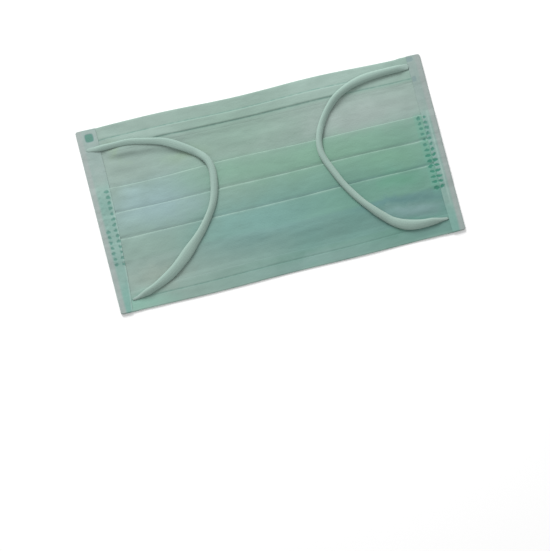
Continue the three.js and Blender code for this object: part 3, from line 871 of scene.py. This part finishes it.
def inner_face(cloth, strip):
    """The pale inner face: darker and greener towards the lower right, partly as painted shade of the light falling off
    across the mask and partly as the outer colour coming through, greener in the pleats where the outer colour comes
    through, with soft tints (two of them painted shade), painted highlights along the lips and darker seams."""
    graph = Graph("inner_nonwoven", cloth.inner_pale)
    x, v, s = graph.attribute("flat")
    leaves, crease, seam = graph.attribute("marks")
    normal, web = nonwoven_relief(graph, graph.join(x, s))
    flat = graph.join(x, v)
    mottle = graph.noise(flat, 62.0, 3.0, 0.6)
    # Darker towards the lower right: partly painted shade of the light falling off across the mask, partly the outer
    # colour coming through.
    down = graph.between(v, 0.018, 0.066)
    depth = graph.between(x, -0.095, 0.075) * down * 0.78 + down * 0.20
    depth = graph.math("ADD", depth, (graph.noise(flat, 17.0, 2.0, 0.5) - 0.5) * 0.7, clamp=True)
    graph.tint(depth, cloth.inner_deep)
    graph.tint(leaves * graph.between(x, -0.085, 0.06, 0.10, 0.60), cloth.inner_leaf)
    wander = (mottle - 0.5) * 0.030
    near_x, near_v = x + wander, v + wander * 0.5
    for middle, reach, strength, tint in INNER_TINTS:
        graph.tint(patch(graph, near_x, near_v, middle, reach) * strength, tint)
    graph.shade(mottle * 0.30 + web * 0.10, 0.13, 0.32, 0.93, 1.06)
    # Painted highlight along the inner fold tips and hem edges, where the folds catch the light, together with the
    # paler look of the cloth doubled there.
    lip_highlight = graph.math("MAXIMUM", crease, 0.0) * graph.between(mottle, 0.36, 0.62, 0.14, 0.46)
    graph.tint(lip_highlight, LIP_HIGHLIGHT_PAINTED)
    stitch = graph.between(graph.noise(flat, 420.0, 2.0), 0.34, 0.60, 0.45, 1.0)
    graph.tint(seam * stitch * 0.75, INNER_SEAM)
    away = graph.math("SUBTRACT", HALF_WIDTH * MM, x)
    band = graph.between(away, 0.0102, 0.0116, 1.0, 0.0) * graph.between(v, 0.029, 0.033)
    graph.tint(band * graph.between(v, 0.070, 0.075, 1.0, 0.0) * 0.35, BESIDE_STRIP)
    dotted(graph, away, v, "right", strip)
    return graph.finish(normal, 0.86, sheen=0.12)


def dotted(graph, away, v, side, strip):
    """Lays the weld dots of a side over the base: two columns of rows a pitch apart, whose outlines are pushed about
    by noise. The lower ones are broader, and the left side's first column starts lower down."""
    rows = SIDES[side]
    push = graph.noise(graph.join(away, v), 520.0, 1.0, 0.5, "Color")
    dx, dv, _ = graph.split(graph.vector("SUBTRACT", push, (0.5, 0.5, 0.5)))
    near_away = away + dx * 0.0022
    row = (v + dv * 0.0016 - DOT_FROM * MM) / (DOT_PITCH * MM)
    along = abs(row - graph.math("ROUND", row)) * (DOT_PITCH / DOT_HALF[1])
    low, high = graph.between(v, 0.046, 0.054), graph.between(v, 0.046, 0.054, 1.0, 0.0)
    first, second = (abs(near_away - column * MM) for column in rows["columns"])
    nearest = graph.math("MINIMUM", first + high * (rows["late"] * MM), second)
    broad = low * (0.6 * MM * (rows["dark"][1] - 0.6)) + DOT_HALF[0] * MM
    far = graph.reach(along, nearest / broad)
    inside = graph.between(far, 0.7, 1.25, 1.0, 0.0) * graph.between(row, -0.6, -0.4)
    inside = inside * graph.between(row, DOT_ROWS - 0.6, DOT_ROWS - 0.4, 1.0, 0.0)
    graph.tint(inside * 0.45, strip.pressed)
    graph.tint(inside * graph.between(low, 0.0, 1.0, *rows["dark"]) * 0.95, strip.weld)


def outer_face(cloth):
    """The green outer face, cloudy in light and deep patches, with painted shade along its folds and darker seams."""
    graph = Graph("outer_nonwoven", cloth.outer_light)
    x, v, s = graph.attribute("flat")
    leaves, crease, seam = graph.attribute("marks")
    normal, web = nonwoven_relief(graph, graph.join(x, s))
    flat = graph.join(x, v)
    cloud = graph.noise(flat, 34.0, 3.0, 0.6) * 0.7 + graph.noise(flat, 150.0, 3.0, 0.6) * 0.3
    share = graph.math("ADD", graph.between(cloud, 0.33, 0.64), leaves * 0.12, clamp=True)
    graph.tint(share, cloth.outer_deep)
    graph.shade(web, 0.3, 0.8, 0.93, 1.06)
    # Painted shade along the outer folds.
    graph.tint(graph.math("MAXIMUM", crease * -0.5, 0.0), OUTER_FOLD_SHADE)
    graph.tint(seam * 0.4, OUTER_SEAM)
    return graph.finish(normal, 0.84, sheen=0.12)


def strip_face(side, cloth, strip):
    """The pale nonwoven of a strip: greyer at the fold round the side, green inside it, with a pale rim (at its free
    edge painted light over the shade of the strip's step), weld dots and welded spots, and darker on the right as
    painted shade."""
    graph = Graph(f"strip_nonwoven_{side}", strip.cloth)
    away, v, over = graph.attribute("flat")
    spot, fold, rim = graph.attribute("marks")
    place = graph.join(away, v, over)
    normal, web = nonwoven_relief(graph, place)
    mottle = graph.noise(place, 70.0, 3.0, 0.6)
    graph.tint(graph.between(mottle, 0.35, 0.65, 0.0, 0.35), cloth.inner_deep)
    graph.tint(graph.between(v, 0.026, 0.036) * 0.36, strip.band)
    graph.tint(graph.between(v, 0.078, 0.088) * 0.45, strip.band)
    graph.tint(graph.between(v, 0.020, 0.032, 1.0, 0.0) * 0.55, NOSE_END)
    # The pale rim: at the free edge it is painted light over the shade of the strip's step.
    graph.tint(rim * 0.45, RIM_PALE_AND_PAINTED_LIGHT)
    graph.tint(fold * 0.9, strip.edge)
    # The right strip's lower tone is painted shade of the light falling off across the mask.
    tone = SIDES[side]["tone"]
    graph.shade(web, 0.3, 0.8, 0.93 * tone, 1.06 * tone)
    dotted(graph, away, v, side, strip)
    graph.tint(graph.between(spot, 0.05, 0.40, 0.0, 0.55), strip.pressed)
    graph.tint(graph.between(spot, 0.45, 0.85, 0.0, 0.85), strip.weld)
    return graph.finish(normal, 0.86, sheen=0.12)


def elastic_face(loop, strip):
    """Knitted elastic: rows of slanting stitches along each wale, with painted shade in the grooves between the wales.
    """
    graph = Graph("knitted_elastic", loop.elastic)
    along, around, welded = graph.attribute("flat")
    across = graph.math("PINGPONG", around * float(loop.wales), 0.5)
    stitch = graph.math("SINE", (along / (STITCH * MM) + across * 0.9) * (2 * math.pi))
    fuzz = graph.noise(graph.join(along * 1000.0, around * 10.0), 2.2)
    # Painted shade in the grooves between the wales.
    graph.tint(graph.between(across, 0.02, 0.26, 0.14, 0.0), WALE_GROOVE_SHADE)
    graph.shade(stitch, -1.0, 0.6, 0.95, 1.02)
    graph.shade(fuzz, 0.3, 0.7, 0.94, 1.05)
    graph.tint(welded * 0.8, strip.cloth)
    return graph.finish(graph.bump(stitch * 0.5 + across * 1.6 + fuzz * 0.5, 0.00004), 0.82, sheen=0.2)


def wire_face(wire):
    """Drawn plastic: fine lines along its length and faint scuffs."""
    graph = Graph("nose_wire_plastic", wire.plastic)
    along, around, _ = graph.attribute("flat")
    lines = graph.noise(graph.join(along * 30.0, around * 90.0), 1.0)
    scuffs = graph.noise(graph.join(along, around * 0.01), 800.0, 4.0)
    graph.tint(graph.between(scuffs, 0.4, 0.7, 0.0, 0.3), SCUFF)
    return graph.finish(graph.bump(lines, 0.00004), graph.between(scuffs, 0.3, 0.7, 0.42, 0.6))


def floor_face(stage):
    """A plain matt floor with a barely visible unevenness."""
    graph = Graph("floor_matt", stage.floor)
    place = graph.add("ShaderNodeTexCoord", {}, "Object")
    graph.shade(graph.noise(place, 3.0, 2.0), 0.3, 0.7, 0.985, 1.0)
    return graph.finish(graph.bump(graph.noise(place, 900.0), 0.00002), 0.9)


# Operators


def aimed(name, data, place, towards):
    """A light or camera at a place, turned to look along a direction."""
    made = bpy.data.objects.new(name, data)
    bpy.context.scene.collection.objects.link(made)
    made.location = place
    made.rotation_euler = towards.to_track_quat("-Z", "Y").to_euler()
    return made


class OBJECT_OT_mask_stage(Operator):
    """Adds the floor, the soft lights and the camera at the view's angle"""

    bl_idname = "object.mask_stage"
    bl_label = "Mask Stage"

    def execute(self, context):
        stage = context.scene.mask_stage
        side = 3000.0
        steps = np.linspace(-side, side, 9)
        gx, gy = np.meshgrid(steps, steps, indexing="ij")
        points = np.stack([gx, gy, np.full(gx.shape, -0.05)], axis=-1).reshape(-1, 3)
        floor = add_mesh("floor", points, grid_faces(9, 9, 0, False).tolist(), {})
        floor.data.materials.append(floor_face(stage))

        scene = context.scene
        scene.view_settings.view_transform = "Standard"
        world = bpy.data.worlds.new("studio")
        world.use_nodes = True
        world.node_tree.nodes["Background"].inputs["Color"].default_value = (1.0, 1.0, 1.0, 1.0)
        world.node_tree.nodes["Background"].inputs["Strength"].default_value = stage.fill_light
        scene.world = world

        turn = Matrix.Rotation(stage.azimuth, 3, "Z")
        ahead = turn @ Vector((0, 1, 0))
        right = turn @ Vector((1, 0, 0))
        key = bpy.data.lights.new("key", "AREA")
        key.shape = "DISK"
        key.size = 0.62
        key.energy = stage.key_light
        above = right * KEY_PLACE[0] + ahead * KEY_PLACE[1] + Vector((0, 0, KEY_PLACE[2]))
        aimed("key", key, above, -above).visible_camera = False

        camera = bpy.data.cameras.new("view")
        camera.lens = 700.0
        camera.sensor_width = 36.0
        camera.clip_end = 50.0
        distance = stage.view_width * camera.lens / camera.sensor_width
        back = -ahead * math.cos(stage.elevation) + Vector((0, 0, math.sin(stage.elevation)))
        scene.camera = aimed("view", camera, Vector(stage.target) + back * distance, -back)
        return {"FINISHED"}


class OBJECT_OT_mask_ear_loops(Operator):
    """Adds both ear loops, laid along their routes on the cloth and the strips"""

    bl_idname = "object.mask_ear_loops"
    bl_label = "Ear Loops"

    def execute(self, context):
        loop, cloth, strip, wire = settings("mask_loop", "mask_cloth", "mask_strip", "mask_wire")
        surfaces = list(cloth_points(cloth, wire)[0])
        for side in SIDES:
            surfaces += list(strip_points(side, cloth, strip)[0])
        ground = height_map(surfaces)
        material = elastic_face(loop, strip)
        for side, route in LOOP_ROUTES.items():
            path = smooth_path(route, ROUTE_STEP)
            hidden, flattens, lost = np.array(LOOP_WELDED[side]).T
            path = path[int(hidden[0] / ROUTE_STEP) : len(path) - int(hidden[1] / ROUTE_STEP)]
            share = np.linspace(0, 1, len(path))
            from_ends = np.stack([share, 1 - share]) * ROUTE_STEP * len(path)
            welds = 1 - ease(0.4, flattens[:, None], from_ends)
            welded = welds.max(axis=0)
            middle, reach, *lies = np.array(LOOP_LIES[side]).T
            broad, leaning, pressed, aside = lies @ hump(share[:, None], middle, reach).T
            across = unit(np.gradient(path[:, :2], axis=0))[:, ::-1] * (1, -1)
            lit = across @ LIGHT_FROM
            path[:, :2] -= ((LOOP_ASIDE + aside) * np.clip(lit / 0.5, -1, 1))[:, None] * across
            width = loop.width + broad + 0.10 * ripple(share * 150, 0 * share, 17.0, 41)
            width = width * (1 - lost @ welds)
            height = (loop.thickness - 0.10 * broad) * (1 - pressed) * (1 - 0.84 * welded)
            path = settle(path, lie_on(*ground, path, 1.0), BELOW * height - 0.06)
            lean = np.clip((loop.lean + leaning) * lit * (1 - welded), -0.85, 0.85)

            def relief(around, along):
                ribs = 0.014 * np.abs(np.cos(loop.wales * around / 2))
                return ribs + 0.008 * np.cos(math.pi * along / STITCH)

            tip = np.sqrt(np.clip(from_ends.min(axis=0) / 0.9, 0.02, 1))
            sizes = width / 2 * tip, (1 - BELOW) * height * tip, BELOW * height * tip
            points, faces, flat = tube(path, sizes, 4 * loop.wales, relief, lean, welded)
            piece = add_mesh(f"ear_loop_elastic_{side}", points, faces, {"flat": flat})
            dress(piece, "elastic", f"ear_loop_{side}", material)
            centre = path * MM
        return {"FINISHED"}


class OBJECT_OT_mask_cloth(Operator):
    """Adds the folded laminate: hems, panels and three pleats in one sheet"""

    bl_idname = "object.mask_cloth"
    bl_label = "Pleated Cloth"

    def execute(self, context):
        cloth, strip, wire = settings("mask_cloth", "mask_strip", "mask_wire")
        sides, flat, marks, cut = cloth_points(cloth, wire)
        piece = add_sheet("mask_cloth", sides, flat, marks, two_faced=True)
        dress(piece, "laminate", "pleated_body", inner_face(cloth, strip), outer_face(cloth))
        return {"FINISHED"}


class OBJECT_OT_mask_side_strips(Operator):
    """Adds the two strips that are folded round the side margins, with their weld marks"""

    bl_idname = "object.mask_side_strips"
    bl_label = "Side Strips"

    def execute(self, context):
        cloth, strip = settings("mask_cloth", "mask_strip")
        for side, rows in SIDES.items():
            sides, flat, marks = strip_points(side, cloth, strip)
            piece = add_sheet(f"side_strip_cloth_{side}", sides, flat, marks, under=(0, 1, 1))
            dress(piece, "strip", f"side_strip_{side}", strip_face(side, cloth, strip))
            width = (OUTER_LEG + sum(rows["leg"]) / 2 + ROUND_SIDE) * MM
        return {"FINISHED"}


class OBJECT_OT_mask_nose_wire(Operator):
    """Adds the nose wire's plastic strip, with a wire along each edge, inside the nose hem"""

    bl_idname = "object.mask_nose_wire"
    bl_label = "Nose Wire"

    def execute(self, context):
        cloth, wire = settings("mask_cloth", "mask_wire")
        half, half_height = wire.length / 2, wire.thickness / 2
        x = np.linspace(-half, half, 100)
        v = np.full(100, wire.place)
        y = to_y(x, v + edge_waver(x, v, cloth), cloth)
        floor_of_hem = cloth_middle(x, v, 0 * x, cloth, wire) + cloth.thickness / 2
        path = np.column_stack([x, y, floor_of_hem + half_height + 0.03])

        def relief(around, along):
            return -0.07 * np.abs(np.sin(around)) ** 6 + 0 * along

        tip = np.sqrt(np.clip((half - np.abs(x)) / 0.8, 0.03, 1))
        points, faces, flat = tube(path, (wire.width / 2 * tip, half_height * tip, half_height * tip), 40, relief)
        piece = add_mesh("nose_wire_strip", points, faces, {"flat": flat})
        dress(piece, "wire", "nose_wire", wire_face(wire))
        return {"FINISHED"}


class VIEW3D_PT_face_mask(Panel):
    bl_idname = "VIEW3D_PT_face_mask"
    bl_label = "Face Mask"
    bl_space_type = "VIEW_3D"
    bl_region_type = "UI"
    bl_category = "Face Mask"

    def draw(self, context):
        for operator in OPERATORS:
            self.layout.operator(operator.bl_idname)


GROUPS = {
    "mask_stage": MaskStage,
    "mask_cloth": MaskCloth,
    "mask_strip": MaskStrip,
    "mask_loop": MaskLoop,
    "mask_wire": MaskWire,
}
OPERATORS = [
    OBJECT_OT_mask_stage,
    OBJECT_OT_mask_ear_loops,
    OBJECT_OT_mask_cloth,
    OBJECT_OT_mask_side_strips,
    OBJECT_OT_mask_nose_wire,
]
CLASSES = [*GROUPS.values(), *OPERATORS, VIEW3D_PT_face_mask]


def register():
    for cls in CLASSES:
        bpy.utils.register_class(cls)
    for name, group in GROUPS.items():
        setattr(Scene, name, PointerProperty(type=group))


def unregister():
    for name in GROUPS:
        delattr(Scene, name)
    for cls in reversed(CLASSES):
        bpy.utils.unregister_class(cls)


def main():
    register()
    bpy.ops.object.mask_stage()
    bpy.ops.object.mask_ear_loops()
    bpy.ops.object.mask_cloth()
    bpy.ops.object.mask_side_strips()
    bpy.ops.object.mask_nose_wire()


if __name__ == "__main__":
    main()
